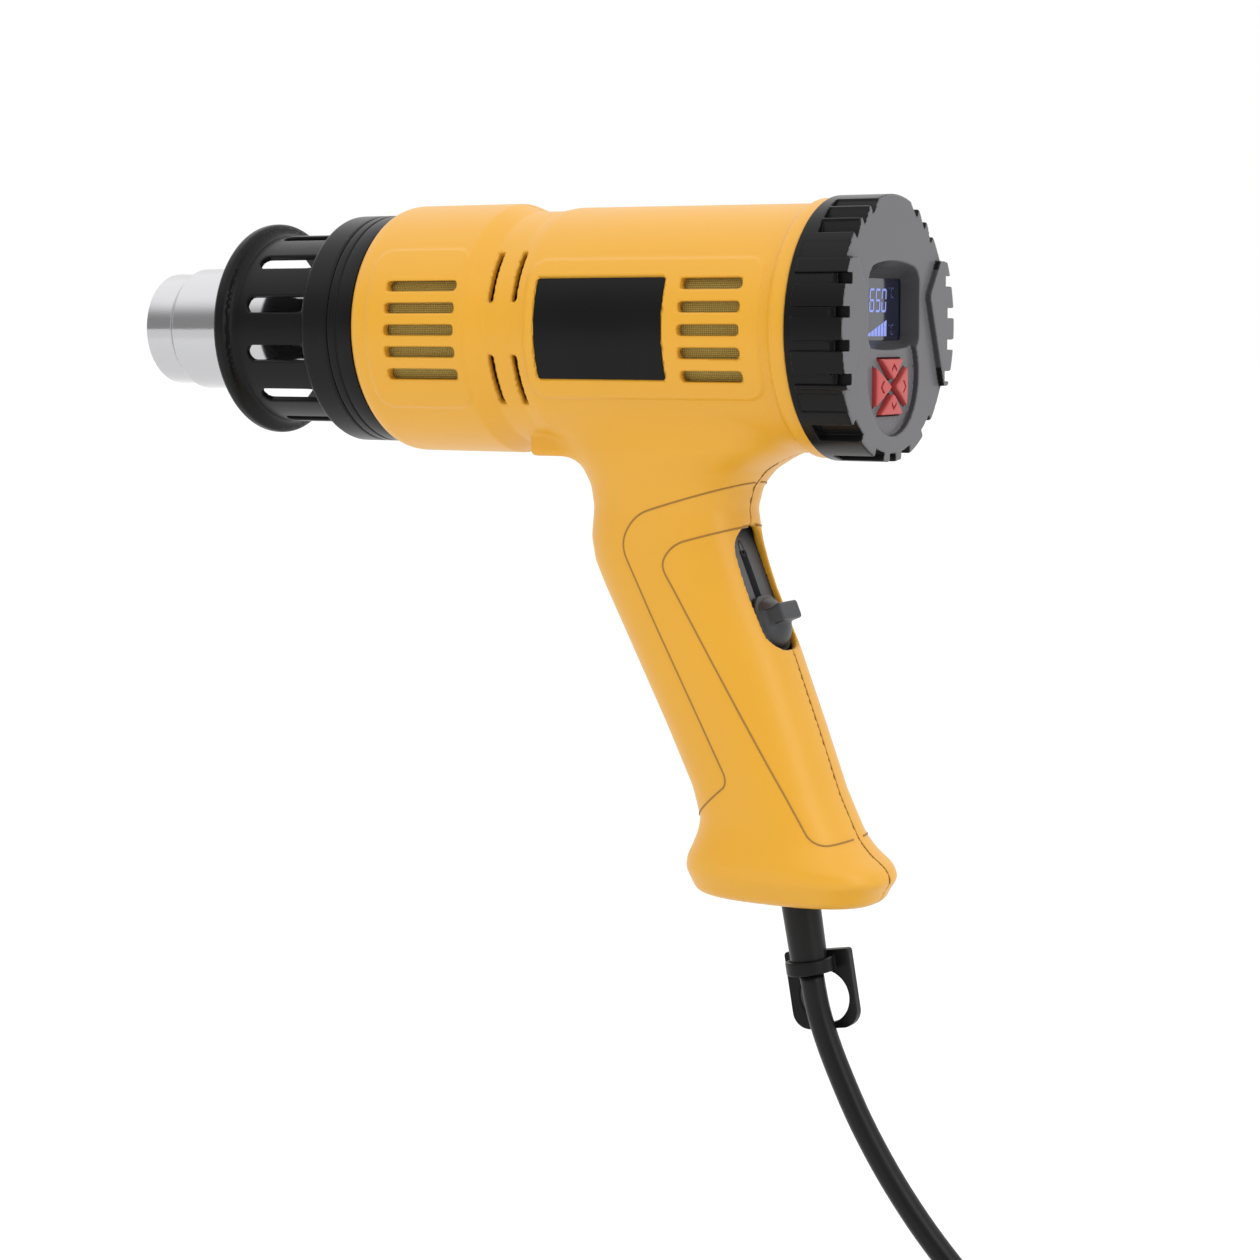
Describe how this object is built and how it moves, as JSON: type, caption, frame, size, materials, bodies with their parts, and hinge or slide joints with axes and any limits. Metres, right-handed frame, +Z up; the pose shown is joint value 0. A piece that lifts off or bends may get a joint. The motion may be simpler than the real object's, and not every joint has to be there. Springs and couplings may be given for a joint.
{
  "type": "heat gun",
  "caption": "Pistol-grip hot air gun with a steel nozzle, slotted heat guard, digital display, push keys, slide switch, hanging loop and mains lead.",
  "frame": {"origin": "middle of the grip on the symmetry plane, 95 mm below the barrel axis", "axes": "-X along the barrel towards the nozzle, +Z up, +Y towards the right side of the gun"},
  "size_m": [0.3608, 0.1273, 0.3501],
  "materials": {
    "housing_yellow": "semi-gloss moulded ABS",
    "cap_black": "semi-gloss black",
    "guard_black": "satin black heat-resistant",
    "nozzle_steel": "polished stainless tube",
    "mica": "mica sheet",
    "ceramic": "unglazed",
    "resistance_wire": "oxidised wire",
    "sensor_metal": "satin",
    "fan_plastic": "moulded",
    "duct_grey": "moulded",
    "motor_steel": "zinc plated",
    "rotor_copper": "wound rotor",
    "magnet_dark": "ferrite",
    "bushing_bronze": "sintered bronze",
    "carbon": "carbon",
    "board_green": "solder mask",
    "heat_sink_alu": "extruded",
    "film_yellow": "capacitor case",
    "lcd_face": "display face",
    "lcd_clear": "clear window over a dark display",
    "pad_rubber": "silicone",
    "button_red": "moulded red",
    "slider_black": "satin black",
    "switch_dark": "moulded",
    "mesh_olive": "woven dust mesh",
    "label_black": "printed foil",
    "screw_steel": "zinc plated",
    "lead_blue": "insulated leads",
    "cord_black": "satin PVC",
    "loop_black": "satin black",
    "blade_metal": "plated"
  },
  "bodies": {
    "root": {"left_shell": "housing_yellow", "right_shell": "housing_yellow", "rear_cap": "cap_black", "guard_collar": "guard_black", "heat_guard": "guard_black", "nozzle_tube": "nozzle_steel", "mica_tube": "mica", "heater_cross": "mica", "heater_coil": "resistance_wire", "ceramic_outlet": "ceramic", "heater_base": "mica", "thermal_cutout": "sensor_metal", "thermocouple": "sensor_metal", "fan_housing": "duct_grey", "motor_can": "motor_steel", "motor_magnets": "magnet_dark", "motor_end_cap": "switch_dark", "motor_bushings": "bushing_bronze", "motor_brushes": "carbon", "control_board": "board_green", "heat_sink": "heat_sink_alu", "capacitor": "film_yellow", "display_board": "board_green", "lcd_module": "lcd_face", "lcd_window": "lcd_clear", "button_pad": "pad_rubber", "switch_plate": "switch_dark", "switch_body": "switch_dark", "vent_screens_left": "mesh_olive", "vent_screens_right": "mesh_olive", "label_plate_left": "label_black", "label_plate_right": "label_black", "shell_screws": "screw_steel", "cord_clamp": "switch_dark", "clamp_screws": "screw_steel", "inner_leads": "lead_blue", "inner_cord": "cord_black", "cord_boot": "cord_black", "cord_tube": "cord_black", "cord_coil": "cord_black", "cord_tail": "cord_black", "cord_tie": "pad_rubber", "plug_body": "cord_black", "plug_blades": "blade_metal"},
    "switch": {"switch_slider": "slider_black"},
    "key_up": {"button_up": "button_red"},
    "key_down": {"button_down": "button_red"},
    "key_left": {"button_left": "button_red"},
    "key_right": {"button_right": "button_red"},
    "loop": {"hang_loop": "loop_black"},
    "rotor": {"fan_wheel": "fan_plastic", "motor_shaft": "motor_steel", "motor_rotor": "rotor_copper"}
  },
  "joints": [
    {"name": "power_slide", "type": "slide", "parent": "root", "child": "switch", "axis": [-0.3778, 0, 0.9259], "range_m": [0, 0.012]},
    {"name": "press_up", "type": "slide", "parent": "root", "child": "key_up", "axis": [-1, 0, 0], "range_m": [0, 0.0008], "stiffness_N_per_m": 400},
    {"name": "press_down", "type": "slide", "parent": "root", "child": "key_down", "axis": [-1, 0, 0], "range_m": [0, 0.0008], "stiffness_N_per_m": 400},
    {"name": "press_left", "type": "slide", "parent": "root", "child": "key_left", "axis": [-1, 0, 0], "range_m": [0, 0.0008], "stiffness_N_per_m": 400},
    {"name": "press_right", "type": "slide", "parent": "root", "child": "key_right", "axis": [-1, 0, 0], "range_m": [0, 0.0008], "stiffness_N_per_m": 400},
    {"name": "loop_swivel", "type": "hinge", "parent": "root", "child": "loop", "pos_m": [0.0269, 0, -0.0692], "axis": [-0.1702, 0, 0.9854], "range_deg": [0, 180]},
    {"name": "fan_spin", "type": "hinge", "parent": "root", "child": "rotor", "pos_m": [0, 0, 0.095], "axis": [1, 0, 0], "continuous": true}
  ]
}
